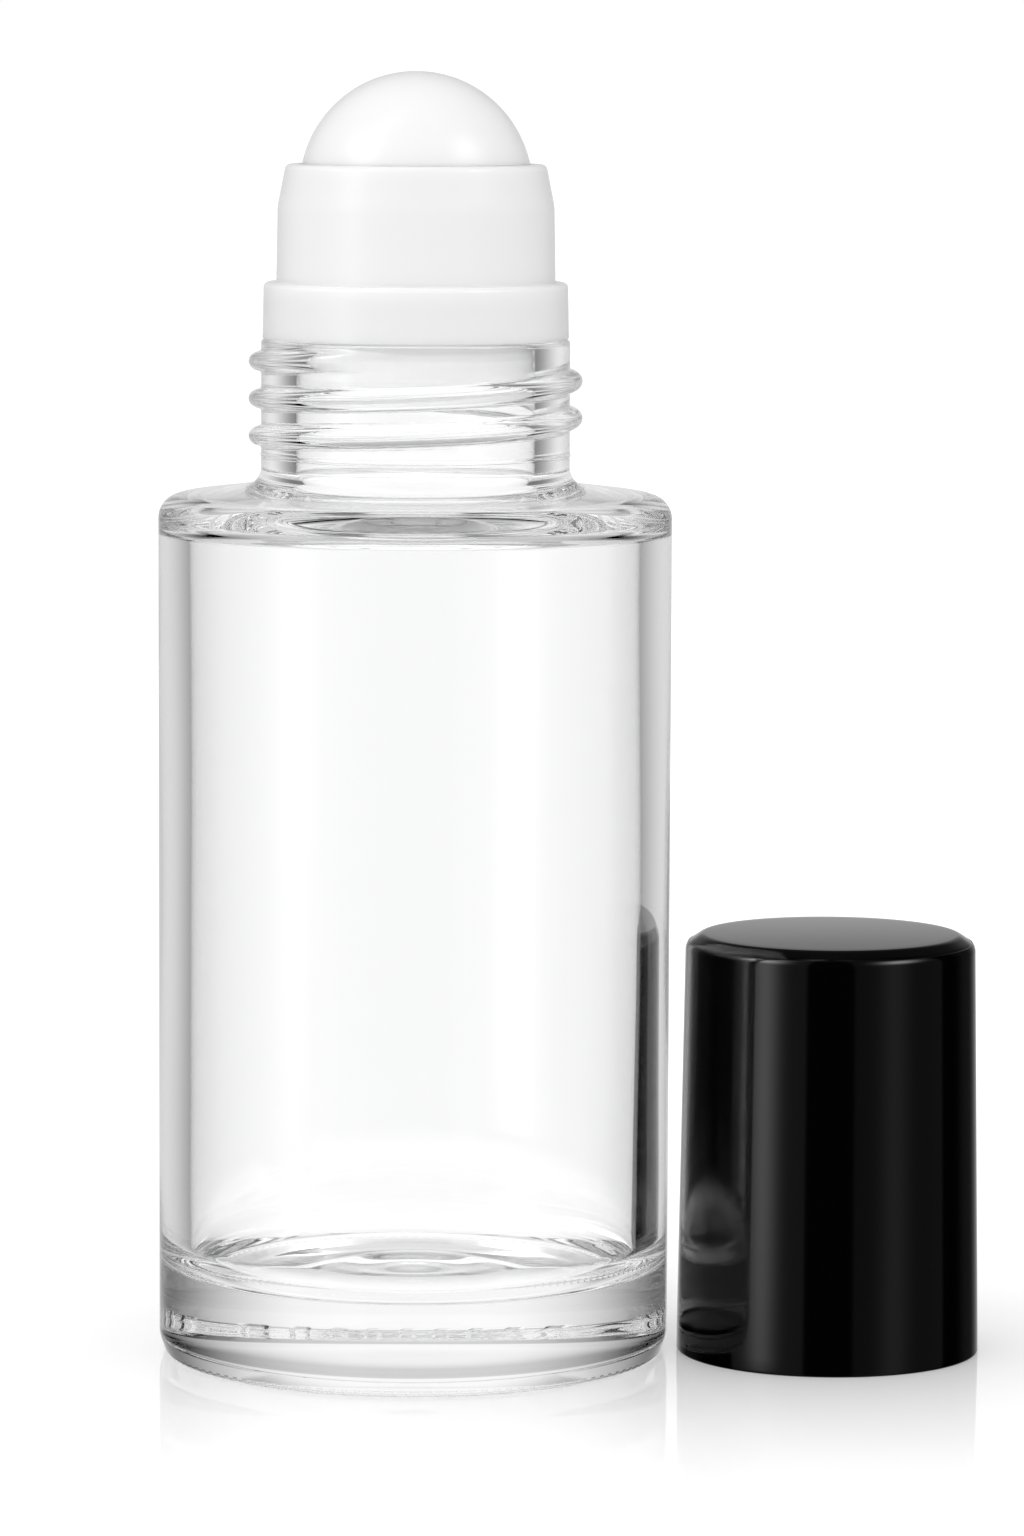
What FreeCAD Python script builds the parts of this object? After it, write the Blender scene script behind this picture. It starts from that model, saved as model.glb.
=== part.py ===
import FreeCAD, Part
import math
import os

from FreeCAD import Vector

# A glass roll on bottle with its cap standing beside it, in millimetres.
# The origin is the centre of the bottle's foot, +Z is up, and the cap stands towards +X.

# Roller ball
ball_radius = 8.6
ball_running_gap = 0.08
rim_above_ball_centre = 1.78

# Ball housing: sleeve round the ball, skirt on the glass lip, plug in the neck
sleeve_wall = 1.62
sleeve_draft = 0.1
sleeve_height = 5.6
rim_cone_height = 3.07
rim_cone_inset = 0.6
rim_round = 0.45
ledge_width = 0.93
ledge_round = 0.4
skirt_height = 4.2
skirt_draft = 0.08
plug_wall = 1.1
plug_depth = 3.9
plug_running_gap = 0.06
plug_lead_in = 0.5
plug_rib_count = 2
plug_rib_proud = 0.12
plug_rib_height = 0.7
plug_rib_spacing = 1.4
cup_wall = 1.0
cup_relief = 0.3
lip_band_height = 0.9
seat_radius = 6.1
seat_width = 1.1
feed_hole_radius = 3.1
feed_slot_count = 4
feed_slot_width = 1.4
skirt_core_width = 1.2
skirt_core_depth = 3.1

# Glass bottle: neck and thread
neck_overhang = 0.1
neck_wall = 2.58
neck_length = 10.75
neck_root_round = 1.5
lip_round = 0.55
bore_root_round = 1.5
thread_depth = 0.92
thread_pitch = 2.75
thread_root_width = 1.7
thread_crest_width = 0.9
thread_crest_round_rise = 0.26
thread_sink = 0.35
thread_below_lip = 1.0
seam_above_shoulder = 2.25
seam_proud = 0.07
seam_width = 0.4

# Glass bottle: body
body_radius = 19.0
body_wall = 2.3
shoulder_edge_height = 63.9
shoulder_rise = 0.95
shoulder_round = 1.7
shoulder_wall = 1.7
inner_shoulder_round = 1.4
base_thickness = 6.2
floor_round = 2.8
heel_inset = 0.5
heel_height = 1.4
heel_foot_round = 0.6
heel_side_round = 1.85
bearing_width = 3.6
bearing_round = 6.0
push_up = 0.6
push_up_round = 60.0

# Cap shell, flush with the skirt when it is on
cap_height = 31.5
cap_draft = 0.52
cap_crown = 1.3
cap_bore_gap = 0.12
cap_edge_inset = 1.15
cap_edge_drop = 0.75
cap_side_round = 1.05
cap_top_round = 2.3
cap_inner_round = 0.8
cap_rim_round = 0.2
cap_to_body_gap = 0.73

# Cap insert, pressed up into the shell
insert_gap = 0.04
insert_wall = 0.9
insert_floor = 1.0
insert_above_rim = 1.2
insert_floor_above_ball = 1.1
insert_round = 0.6
seal_ring_radius = 5.5
seal_ring_wall = 0.8
seal_gap = 0.06

# Shares of a turn, of the bearing radius and of an edge that a rounding may use
thread_start_share = 60.0 / 360.0
thread_turns_share = 925.0 / 360.0
thread_fade_share = 50.0 / 360.0
thread_step_share = 1.0 / 24.0
push_up_flat_share = 0.5
edge_use_share = 0.5

# Least length of an edge, and how far a cutter runs past what it cuts
least_edge = 0.001
overrun = 1.0

# The ball sets the sleeve, the sleeve the skirt, the skirt the neck, and the neck its bore
sleeve_radius = ball_radius + ball_running_gap + sleeve_wall
skirt_radius = sleeve_radius + ledge_width
neck_radius = skirt_radius + skirt_draft + neck_overhang
bore_radius = neck_radius - neck_wall
plug_radius = bore_radius - plug_running_gap
plug_core_radius = plug_radius - plug_wall
crest_radius = neck_radius + thread_depth

shoulder_top_height = shoulder_edge_height + shoulder_rise
lip_height = shoulder_top_height + neck_length
ledge_height = lip_height + skirt_height
rim_height = ledge_height + sleeve_height + rim_cone_height
ball_height = rim_height - rim_above_ball_centre
plug_foot_height = lip_height - plug_depth

cap_mouth_radius = skirt_radius + skirt_draft
cap_bore_radius = sleeve_radius + cap_bore_gap
cap_wall = cap_mouth_radius - cap_bore_radius
cap_x = body_radius + cap_to_body_gap + cap_mouth_radius


def place(radius, height):
    """A point of an outline, which lies in the half plane of radius and height."""
    return Vector(radius, 0, height)


def rounded_wire(corners):
    """A closed wire through corners of (radius, height, rounding), with each rounding an arc."""
    points = [place(radius, height) for radius, height, rounding in corners]
    count = len(points)
    starts, middles, ends = [], [], []
    for index, (radius, height, rounding) in enumerate(corners):
        point = points[index]
        before = points[index - 1] - point
        after = points[(index + 1) % count] - point
        half_angle = before.getAngle(after) / 2
        longest_reach = edge_use_share * min(before.Length, after.Length)
        reach = min(rounding / math.tan(half_angle), longest_reach)
        if rounding == 0 or reach < least_edge:
            starts.append(point)
            middles.append(None)
            ends.append(point)
            continue
        before.normalize()
        after.normalize()
        inward = before + after
        inward.normalize()
        centre_distance = reach / math.cos(half_angle)
        arc_radius = reach * math.tan(half_angle)
        starts.append(point + before * reach)
        middles.append(point + inward * (centre_distance - arc_radius))
        ends.append(point + after * reach)
    edges = []
    for index in range(count):
        if middles[index] is not None:
            arc = Part.Arc(starts[index], middles[index], ends[index])
            edges.append(arc.toShape())
        following = starts[(index + 1) % count]
        if (following - ends[index]).Length > least_edge:
            edges.append(Part.makeLine(ends[index], following))
    return Part.Wire(edges)


def turned(corners):
    """A solid turned a full circle about the Z axis from an outline with rounded corners."""
    face = Part.Face(rounded_wire(corners))
    solid = face.revolve(Vector(0, 0, 0), Vector(0, 0, 1), 360)
    return Part.Solid(solid.Shells[0]) if solid.ShapeType != "Solid" else solid


def cylinder(radius, low, high):
    """A cylinder on the Z axis between two heights."""
    return Part.makeCylinder(radius, high - low, Vector(0, 0, low))


def ball_shaped(radius):
    """A sphere round the ball's centre."""
    return Part.makeSphere(radius, Vector(0, 0, ball_height))


def one_solid(shape):
    """The single solid of a finished cut or join, with its faces merged."""
    solids = shape.removeSplitter().Solids
    if len(solids) != 1:
        raise ValueError("expected one solid, found %d" % len(solids))
    return solids[0]


def bottle_body():
    """The bottle without its thread: outside, lip, bore, shoulder and floor in one outline."""
    foot_radius = body_radius - heel_inset
    bearing_radius = foot_radius - bearing_width
    cavity_radius = body_radius - body_wall
    shoulder_slope = shoulder_rise / (body_radius - neck_radius)
    ceiling_height = shoulder_edge_height - shoulder_wall
    ceiling_rise = shoulder_slope * (cavity_radius - bore_radius)
    seam_height = shoulder_top_height + seam_above_shoulder
    return turned([
        (0, push_up, 0),
        (bearing_radius * push_up_flat_share, push_up, push_up_round),
        (bearing_radius, 0, bearing_round),
        (foot_radius, 0, heel_foot_round),
        (body_radius, heel_height, heel_side_round),
        (body_radius, shoulder_edge_height, shoulder_round),
        (neck_radius, shoulder_top_height, neck_root_round),
        (neck_radius, seam_height - seam_width / 2, 0),
        (neck_radius + seam_proud, seam_height, seam_width),
        (neck_radius, seam_height + seam_width / 2, 0),
        (neck_radius, lip_height, lip_round),
        (bore_radius, lip_height, lip_round),
        (bore_radius, ceiling_height + ceiling_rise, bore_root_round),
        (cavity_radius, ceiling_height, inner_shoulder_round),
        (cavity_radius, base_thickness, floor_round),
        (0, base_thickness, 0),
    ])


def thread_section(turn, sunk):
    """The thread's outline in the axial plane at a turn, drawn in towards the axis by sunk."""
    height = lip_height - thread_below_lip - thread_pitch * (thread_turns_share - turn)
    root_radius = neck_radius - thread_sink - sunk
    flank_radius = crest_radius - thread_crest_round_rise - sunk
    angle = 2 * math.pi * (turn + thread_start_share)

    def at(radius, above):
        return Vector(radius * math.cos(angle), radius * math.sin(angle), height + above)

    low_root = at(root_radius, -thread_root_width / 2)
    low_flank = at(flank_radius, -thread_crest_width / 2)
    crest = at(crest_radius - sunk, 0)
    high_flank = at(flank_radius, thread_crest_width / 2)
    high_root = at(root_radius, thread_root_width / 2)
    return Part.Wire([
        Part.makeLine(low_root, low_flank),
        Part.Arc(low_flank, crest, high_flank).toShape(),
        Part.makeLine(high_flank, high_root),
        Part.makeLine(high_root, low_root),
    ])


def thread():
    """The right-handed thread: sections along a helix, sinking into the neck at both ends."""
    deepest = thread_depth + seam_proud
    steps = math.ceil(thread_turns_share / thread_step_share)
    sections = []
    for step in range(steps + 1):
        turn = thread_turns_share * step / steps
        from_end = min(turn, thread_turns_share - turn)
        fade = max(0, 1 - from_end / thread_fade_share)
        sunk = deepest * fade * fade * (3 - 2 * fade)
        sections.append(thread_section(turn, sunk))
    return Part.makeLoft(sections, True, False)


def glass_bottle():
    """The glass: turned body with the thread joined to its neck."""
    return one_solid(bottle_body().fuse(thread()))


def plug_rib(height):
    """A sealing rib round the plug, which rises from a groove and ends at the plug's radius."""
    groove = plug_radius - plug_rib_proud
    low = height - plug_rib_spacing / 2
    high = height + plug_rib_spacing / 2
    ring = cylinder(plug_radius + overrun, low, high).cut(cylinder(groove, low, high))
    rib = turned([
        (groove - plug_rib_proud, height - plug_rib_height / 2, 0),
        (groove, height - plug_rib_height / 2, 0),
        (plug_radius, height, plug_rib_height),
        (groove, height + plug_rib_height / 2, 0),
        (groove - plug_rib_proud, height + plug_rib_height / 2, 0),
    ])
    return ring.cut(rib)


def ball_housing():
    """The housing: a turned outside, hollowed for the ball, the plug's core and the feed slots."""
    rim_radius = sleeve_radius - sleeve_draft - rim_cone_inset
    cone_height = ledge_height + sleeve_height
    shape = turned([
        (0, plug_foot_height, 0),
        (plug_radius - plug_lead_in, plug_foot_height, 0),
        (plug_radius, plug_foot_height + plug_lead_in, 0),
        (plug_radius, lip_height, 0),
        (skirt_radius + skirt_draft, lip_height, 0),
        (skirt_radius, ledge_height, ledge_round),
        (sleeve_radius, ledge_height, 0),
        (sleeve_radius - sleeve_draft, cone_height, rim_cone_height),
        (rim_radius, rim_height, rim_round),
        (0, rim_height, 0),
    ])
    lowest_rib = plug_foot_height + plug_lead_in + plug_rib_spacing / 2
    for index in range(plug_rib_count):
        shape = shape.cut(plug_rib(lowest_rib + plug_rib_spacing * index))

    core_inner = plug_radius + lip_round
    skirt_core = cylinder(core_inner + skirt_core_width, lip_height - overrun, lip_height + skirt_core_depth)
    skirt_core = skirt_core.cut(cylinder(core_inner, lip_height - overrun, ledge_height))
    shape = shape.cut(skirt_core)

    cup_radius = ball_radius + ball_running_gap + cup_wall
    plug_core = cylinder(plug_core_radius, plug_foot_height - overrun, ball_height)
    shape = shape.cut(plug_core.cut(ball_shaped(cup_radius)))
    shape = shape.cut(ball_shaped(ball_radius + ball_running_gap))

    seat_top_radius = seat_radius + seat_width / 2
    seat_top = ball_height - math.sqrt(ball_radius ** 2 - seat_top_radius ** 2)
    relief_band = cylinder(sleeve_radius, seat_top, rim_height - lip_band_height)
    relief = ball_shaped(ball_radius + ball_running_gap + cup_relief).common(relief_band)
    shape = shape.cut(relief)

    shape = shape.cut(cylinder(feed_hole_radius, plug_foot_height, ball_height))
    slot_reach = seat_top_radius
    for index in range(feed_slot_count):
        slot = Part.makeBox(
            slot_reach,
            feed_slot_width,
            ball_height - plug_foot_height,
            Vector(0, -feed_slot_width / 2, plug_foot_height),
        )
        slot.rotate(Vector(0, 0, 0), Vector(0, 0, 1), 360 * (index + 0.5) / feed_slot_count)
        shape = shape.cut(slot)
    return one_solid(shape)


def roller_ball():
    """The ball, moulded solid."""
    return ball_shaped(ball_radius)


def on_cap_axis(shape):
    """A cap piece moved from the Z axis to where the cap stands."""
    moved = shape.copy()
    moved.translate(Vector(cap_x, 0, 0))
    return moved


def cap_radius_at(height, mouth_radius):
    """The radius of a cap surface at a height: it narrows steadily from the mouth to the top."""
    return mouth_radius - cap_draft * height / cap_height


def cap_shell():
    """The cap: a drafted cup, open below, with a soft edge round its crown."""
    side_top = cap_height - cap_edge_drop
    crown_under = cap_height - cap_crown
    shell = turned([
        (cap_mouth_radius, 0, cap_rim_round),
        (cap_radius_at(side_top, cap_mouth_radius), side_top, cap_side_round),
        (cap_radius_at(side_top, cap_mouth_radius) - cap_edge_inset, cap_height, cap_top_round),
        (0, cap_height, 0),
        (0, crown_under, 0),
        (cap_radius_at(crown_under, cap_bore_radius), crown_under, cap_inner_round),
        (cap_bore_radius, 0, cap_rim_round),
    ])
    return on_cap_axis(one_solid(shell))


def above_ledge(height):
    """A height in the closed bottle as a height in the cap, whose mouth then rests on the ledge."""
    return height - ledge_height


def ball_surface_height(radius, gap):
    """How high in the cap the ball's surface plus a gap lies at a radius, when the cap is on."""
    reach = ball_radius + gap
    return above_ledge(ball_height) + math.sqrt(reach ** 2 - radius ** 2)


def cap_insert():
    """The insert: a sleeve in the cap's bore, a floor over the ball and a ring that seals it."""
    top = cap_height - cap_crown - insert_gap
    foot = above_ledge(rim_height) + insert_above_rim
    floor_under = above_ledge(ball_height) + ball_radius + insert_floor_above_ball
    floor_top = floor_under + insert_floor
    fit_radius = cap_bore_radius - insert_gap
    shoulder_height = top - cap_inner_round
    ring_inner = seal_ring_radius - seal_ring_wall / 2
    ring_outer = seal_ring_radius + seal_ring_wall / 2
    insert = turned([
        (0, floor_under, 0),
        (ring_inner, floor_under, insert_round / 2),
        (ring_inner, ball_surface_height(ring_inner, seal_gap), 0),
        (ring_outer, ball_surface_height(ring_outer, seal_gap), 0),
        (ring_outer, floor_under, insert_round),
        (cap_radius_at(floor_under, fit_radius) - insert_wall, floor_under, insert_round),
        (cap_radius_at(foot, fit_radius) - insert_wall, foot, 0),
        (cap_radius_at(foot, fit_radius), foot, insert_wall / 2),
        (cap_radius_at(shoulder_height, fit_radius), shoulder_height, 0),
        (cap_radius_at(shoulder_height, fit_radius) - cap_inner_round, top, 0),
        (cap_radius_at(top, fit_radius) - insert_wall - cap_inner_round, top, 0),
        (cap_radius_at(floor_top, fit_radius) - insert_wall, floor_top, insert_round),
        (0, floor_top, 0),
    ])
    return on_cap_axis(one_solid(insert))


PIECES = {
    "glass_bottle": glass_bottle,
    "ball_housing": ball_housing,
    "roller_ball": roller_ball,
    "cap_shell": cap_shell,
    "cap_insert": cap_insert,
}

os.makedirs("parts", exist_ok=True)
for node, make in PIECES.items():
    piece = make()
    if not piece.isValid():
        raise ValueError("%s is not a valid solid" % node)
    piece.exportStep("parts/%s.step" % node)
    box = piece.BoundBox
    print("%-13s %9.1f mm3   X %7.2f %7.2f   Z %6.2f %6.2f"
          % (node, piece.Volume, box.XMin, box.XMax, box.ZMin, box.ZMax))
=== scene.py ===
"""A glass roll on bottle with its cap taken off, dressed for the studio, round the fixed frame.

Everything is in metres. The origin is the centre of the bottle's foot, +Z is up and the cap
stands towards +X. Each piece is a surface turned about an axis: a grid whose rows follow an
outline of radius and height and whose columns go round the axis.
"""

import math

import bpy
import numpy as np
from mathutils import Matrix, Vector


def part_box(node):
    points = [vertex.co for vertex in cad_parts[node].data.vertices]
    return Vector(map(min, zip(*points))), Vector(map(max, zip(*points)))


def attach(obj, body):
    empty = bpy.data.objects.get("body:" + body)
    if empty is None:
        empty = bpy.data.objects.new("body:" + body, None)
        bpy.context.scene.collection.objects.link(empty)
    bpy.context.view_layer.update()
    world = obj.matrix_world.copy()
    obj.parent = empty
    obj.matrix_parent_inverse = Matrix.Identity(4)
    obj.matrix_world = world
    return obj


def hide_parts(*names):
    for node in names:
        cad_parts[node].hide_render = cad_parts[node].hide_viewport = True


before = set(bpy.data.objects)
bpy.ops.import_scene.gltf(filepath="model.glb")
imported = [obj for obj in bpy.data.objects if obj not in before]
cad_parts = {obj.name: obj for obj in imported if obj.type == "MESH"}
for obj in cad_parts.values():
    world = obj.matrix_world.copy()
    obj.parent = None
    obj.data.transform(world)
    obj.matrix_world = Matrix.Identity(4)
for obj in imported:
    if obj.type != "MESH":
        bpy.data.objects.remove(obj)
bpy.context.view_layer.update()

bl_info = {
    "name": "Roll On Bottle",
    "version": (1, 0, 0),
    "blender": (4, 5, 0),
    "location": "3D View > Sidebar > Roll On",
    "description": "Builds a glass roll on bottle, its ball, housing and cap, and a plain studio",
    "category": "Add Mesh",
}

MM = 0.001

bottle_low, bottle_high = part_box("glass_bottle")
housing_low, housing_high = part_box("ball_housing")
ball_low, ball_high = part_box("roller_ball")
cap_low, cap_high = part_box("cap_shell")
insert_low, insert_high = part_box("cap_insert")

BODY_RADIUS = bottle_high.x
LIP_HEIGHT = bottle_high.z
PLUG_FOOT = housing_low.z
RIM_HEIGHT = housing_high.z
SKIRT_RADIUS = housing_high.x
BALL_RADIUS = (ball_high.z - ball_low.z) / 2
BALL_HEIGHT = (ball_high.z + ball_low.z) / 2
CAP_X = (cap_high.x + cap_low.x) / 2
CAP_RADIUS = (cap_high.x - cap_low.x) / 2
CAP_HEIGHT = cap_high.z
INSERT_FOOT = insert_low.z
INSERT_TOP = insert_high.z


def length(name, description, default):
    """A length in metres that a user can change."""
    return bpy.props.FloatProperty(
        name=name, description=description, default=default, min=0, unit="LENGTH", precision=5)


def share(name, description, default, most=1.0):
    """A plain number that a user can change."""
    return bpy.props.FloatProperty(name=name, description=description, default=default, min=0, max=most)


def colour(name, description, default):
    """A colour that a user can change."""
    return bpy.props.FloatVectorProperty(
        name=name, description=description, default=default, size=3, min=0, max=1, subtype="COLOR")


class BottleSizes(bpy.types.PropertyGroup):
    """Sizes of the glass."""

    wall: length("Wall", "Thickness of the body's wall", 2.3 * MM)
    base: length("Base", "Thickness of the heavy base", 6.2 * MM)
    floor_round: length("Floor round", "Rounding where the wall meets the inner floor", 2.8 * MM)
    push_up: length("Push-up", "How far the underside is pushed up inside the foot ring", 0.6 * MM)
    ripple: length("Ripple", "Height of the rings in the moulded inner floor", 0.085 * MM)
    shoulder_edge: length("Shoulder edge", "Height of the shoulder's outer edge", 63.9 * MM)
    shoulder_rise: length("Shoulder rise", "Rise of the shoulder from its edge to the neck", 0.95 * MM)
    shoulder_wall: length("Shoulder wall", "Thickness of the glass under the shoulder", 1.7 * MM)
    neck_radius: length("Neck radius", "Radius of the neck between the threads", 11.41 * MM)
    neck_wall: length("Neck wall", "Thickness of the neck", 2.58 * MM)
    thread_pitch: length("Thread pitch", "Rise of the thread in one turn", 2.75 * MM)
    thread_depth: length("Thread depth", "How far the thread stands out of the neck", 0.92 * MM)
    wave: length("Wave", "Height of the slow waves in the moulded inner wall", 0.03 * MM)


class HousingSizes(bpy.types.PropertyGroup):
    """Sizes of the ball housing."""

    sleeve_radius: length("Sleeve radius", "Outer radius of the sleeve round the ball", 10.3 * MM)
    ledge: length("Ledge", "Height of the ledge above the glass lip", 4.2 * MM)
    sleeve: length("Sleeve", "Height of the sleeve above the ledge", 5.6 * MM)
    running_gap: length("Running gap", "Gap between the ball and its seat", 0.08 * MM)
    cup_wall: length("Cup wall", "Thickness of the cup under the ball", 1.0 * MM)
    plug_gap: length("Plug gap", "Gap between the plug and the neck's bore", 0.06 * MM)
    plug_wall: length("Plug wall", "Thickness of the plug in the neck", 1.1 * MM)
    rib_proud: length("Rib proud", "How far the plug's ribs stand out of their groove", 0.12 * MM)
    rib_half_height: length("Rib half height", "Half the height of a rib", 0.35 * MM)
    rib_spacing: length("Rib spacing", "Distance from rib to rib", 1.4 * MM)
    rib_count: bpy.props.IntProperty(name="Ribs", description="How many ribs the plug has", default=2, min=0)


class CapSizes(bpy.types.PropertyGroup):
    """Sizes of the cap and its insert."""

    wall: length("Wall", "Thickness of the cap's side", 0.89 * MM)
    crown: length("Crown", "Thickness of the cap's top", 1.3 * MM)
    draft: length("Draft", "How much the radius narrows from mouth to top", 0.52 * MM)
    dome: length("Dome", "Rise of the top's middle", 0.1 * MM)


class Finishes(bpy.types.PropertyGroup):
    """Colours of the materials."""

    glass: colour("Glass", "Tint of the clear glass", (0.989, 0.992, 0.99))
    housing: colour("Housing", "Translucent white plastic of the housing", (0.86, 0.855, 0.86))
    ball: colour("Ball", "White plastic of the ball", (0.86, 0.855, 0.865))
    cap: colour("Cap", "Glossy black plastic of the cap", (0.0006, 0.0006, 0.0006))
    insert: colour("Insert", "Natural plastic of the cap's insert", (0.8, 0.8, 0.79))


class StudioSettings(bpy.types.PropertyGroup):
    """Light and surroundings."""

    ambient: share("Ambient", "Level of the even light", 0.92, 4)
    slant: share("Slant", "How much stronger the even light is at front left", 0.45, 4)
    key: share("Key", "Level of the soft box at front left", 1.5, 8)
    fill: share("Fill", "Level of the soft box at front right", 0.29, 8)
    window: share("Window", "Level of the two soft patches high above the soft boxes", 5.0, 20)
    lantern: share("Lantern", "Extra light that clear glass leads to what it holds", 1.0, 4)
    through: share("Through", "Level of the backdrop seen straight through the glass", 1.12, 8)
    mirror: share("Mirror", "Strength of the floor's reflection at a foot", 0.26)
    mirror_reach: length("Mirror reach", "Distance from a foot over which the reflection fades", 70 * MM)


SETTINGS = {
    "bottle_sizes": BottleSizes,
    "housing_sizes": HousingSizes,
    "cap_sizes": CapSizes,
    "bottle_finishes": Finishes,
    "bottle_studio": StudioSettings,
}


# Shapes

ARC_STEP = math.radians(4)
LONGEST_STEP = 4 * MM
COLUMNS = 240
FEWER_COLUMNS = 192
ON_AXIS = 1e-9


def smooth(x):
    """0 below 0, 1 above 1, and the cubic 3x^2 - 2x^3 between."""
    x = np.clip(x, 0, 1)
    return x * x * (3 - 2 * x)


def spread(start, end, step):
    """Points from start to end, both kept, no further apart than step."""
    distance = np.hypot(*(end - start))
    count = max(1, math.ceil(distance / step))
    return start + (end - start) * np.linspace(0, 1, count + 1)[:, None]


def outline(corners, step=LONGEST_STEP):
    """Points along straight runs between corners of (radius, height, rounding), each rounding a
    circular arc tangent to its two runs and taking at most half of either."""
    points = np.array([corner[:2] for corner in corners], float)
    count = len(points)
    runs = []
    for index, (_, _, rounding) in enumerate(corners):
        point = points[index]
        if rounding == 0 or index in (0, count - 1):
            runs.append(point[None])
            continue
        before = points[index - 1] - point
        after = points[index + 1] - point
        longest = min(np.hypot(*before), np.hypot(*after)) / 2
        before /= np.hypot(*before)
        after /= np.hypot(*after)
        half_angle = math.acos(np.clip(before @ after, -1, 1)) / 2
        reach = min(rounding / math.tan(half_angle), longest)
        radius = reach * math.tan(half_angle)
        inward = (before + after) / np.hypot(*(before + after))
        centre = point + inward * reach / math.cos(half_angle)
        first = point + before * reach - centre
        last = point + after * reach - centre
        swing = math.pi - 2 * half_angle
        steps = max(2, math.ceil(swing / ARC_STEP))
        along = np.linspace(0, 1, steps + 1)[:, None] * swing
        arc = first * np.sin(swing - along) + last * np.sin(along)
        runs.append(centre + arc / math.sin(swing))
    pieces = [runs[0]]
    for run, following in zip(runs, runs[1:]):
        pieces += [spread(run[-1], following[0], step)[1:-1], following]
    return np.vstack(pieces)


def turn(points, columns=COLUMNS):
    """Radius, height and angle of each point of a grid, from an outline's points turned about Z."""
    angle = np.linspace(0, 2 * math.pi, columns, endpoint=False)
    radius = np.repeat(points[:, :1], columns, axis=1)
    height = np.repeat(points[:, 1:], columns, axis=1)
    return radius, height, np.broadcast_to(angle, radius.shape)


def ring_object(name, radius, height, angle, centre=0.0, closed=False):
    """An object from a grid: x = centre + radius cos(angle), y = radius sin(angle), z = height.

    Rows join along the outline and columns join round the axis. A first or last row on the axis
    becomes one point with a fan of triangles, and a closed outline joins its last row to its first.
    """
    rows, columns = radius.shape
    place = np.stack([centre + radius * np.cos(angle), radius * np.sin(angle), height], -1)
    pole_first = not closed and radius[0].max() < ON_AXIS
    pole_last = not closed and radius[-1].max() < ON_AXIS
    inner = place[int(pole_first):rows - int(pole_last)]
    count = len(inner)
    vertices = inner.reshape(-1, 3)
    index = np.arange(count * columns).reshape(count, columns)
    low = index if closed else index[:-1]
    high = np.roll(index, -1, 0) if closed else index[1:]
    quads = np.stack([low, np.roll(low, -1, 1), np.roll(high, -1, 1), high], -1).reshape(-1, 4)
    faces = quads.tolist()
    for used, row, edge, flip in ((pole_first, 0, index[0], False), (pole_last, -1, index[-1], True)):
        if not used:
            continue
        pole = np.full(columns, len(vertices))
        vertices = np.vstack([vertices, place[row, :1]])
        pair = (edge, np.roll(edge, -1)) if flip else (np.roll(edge, -1), edge)
        faces += np.stack([pair[0], pair[1], pole], -1).tolist()
    mesh = bpy.data.meshes.new(name)
    mesh.from_pydata(vertices.tolist(), [], faces)
    mesh.polygons.foreach_set("use_smooth", np.ones(len(mesh.polygons), bool))
    mesh.update()
    piece = bpy.data.objects.new(name, mesh)
    bpy.context.scene.collection.objects.link(piece)
    return piece


def settle(piece, body, material, node):
    """A finished piece rides on its body, takes its material and stands for its node."""
    piece.data.materials.append(material)
    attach(piece, body)
    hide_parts(node)


# Shader maths

class Wire:
    """A shader socket that takes part in sums: an expression on wires adds its Math nodes."""

    def __init__(self, tree, socket):
        self.tree = tree
        self.socket = socket

    def math(self, operation, *others):
        values = {index: other for index, other in enumerate((self,) + others)}
        return add_node(self.tree, "ShaderNodeMath", {"operation": operation}, values)

    def __add__(self, other):
        return self.math("ADD", other)

    def __sub__(self, other):
        return self.math("SUBTRACT", other)

    def __mul__(self, other):
        return self.math("MULTIPLY", other)

    def __truediv__(self, other):
        return self.math("DIVIDE", other)

    def __rsub__(self, other):
        return add_node(self.tree, "ShaderNodeMath", {"operation": "SUBTRACT"}, {0: other, 1: self})

    def __rtruediv__(self, other):
        return add_node(self.tree, "ShaderNodeMath", {"operation": "DIVIDE"}, {0: other, 1: self})

    __radd__ = __add__
    __rmul__ = __mul__

    def above(self, other):
        return self.math("GREATER_THAN", other)

    def sine(self):
        return self.math("SINE")

    def size(self):
        return self.math("ABSOLUTE")

    def rise(self, start, end):
        """0 at start, 1 at end and an even S between."""
        values = {"Value": self, "From Min": start, "From Max": end}
        settings = {"interpolation_type": "SMOOTHSTEP", "clamp": True}
        return add_node(self.tree, "ShaderNodeMapRange", settings, values)


def add_node(tree, kind, settings=None, values=None, output=0):
    """Adds a node: its settings first, then the values or links of its sockets. Returns a Wire."""
    node = tree.nodes.new(kind)
    for name, value in (settings or {}).items():
        setattr(node, name, value)
    for name, value in (values or {}).items():
        socket = node.inputs[name]
        if isinstance(value, Wire):
            tree.links.new(value.socket, socket)
        else:
            socket.default_value = value
    return Wire(tree, node.outputs[output])


def new_material(name):
    """An empty node material and its tree."""
    material = bpy.data.materials.new(name)
    material.use_nodes = True
    material.node_tree.nodes.clear()
    return material, material.node_tree


def finish_tree(tree, surface, kind="ShaderNodeOutputMaterial"):
    """Links a shader to the tree's output."""
    node = tree.nodes.new(kind)
    tree.links.new(surface.socket, node.inputs["Surface"])


def object_place(tree):
    """The place on the piece, in metres, as a vector."""
    return add_node(tree, "ShaderNodeTexCoord", output="Object")


def split(tree, vector):
    """The x, y and z of a vector."""
    return [add_node(tree, "ShaderNodeSeparateXYZ", {}, {0: vector}, axis) for axis in range(3)]


def light_path(tree, name):
    """What a ray is, or how often it has bounced, by the name of a Light Path socket."""
    return add_node(tree, "ShaderNodeLightPath", output=name)


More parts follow.
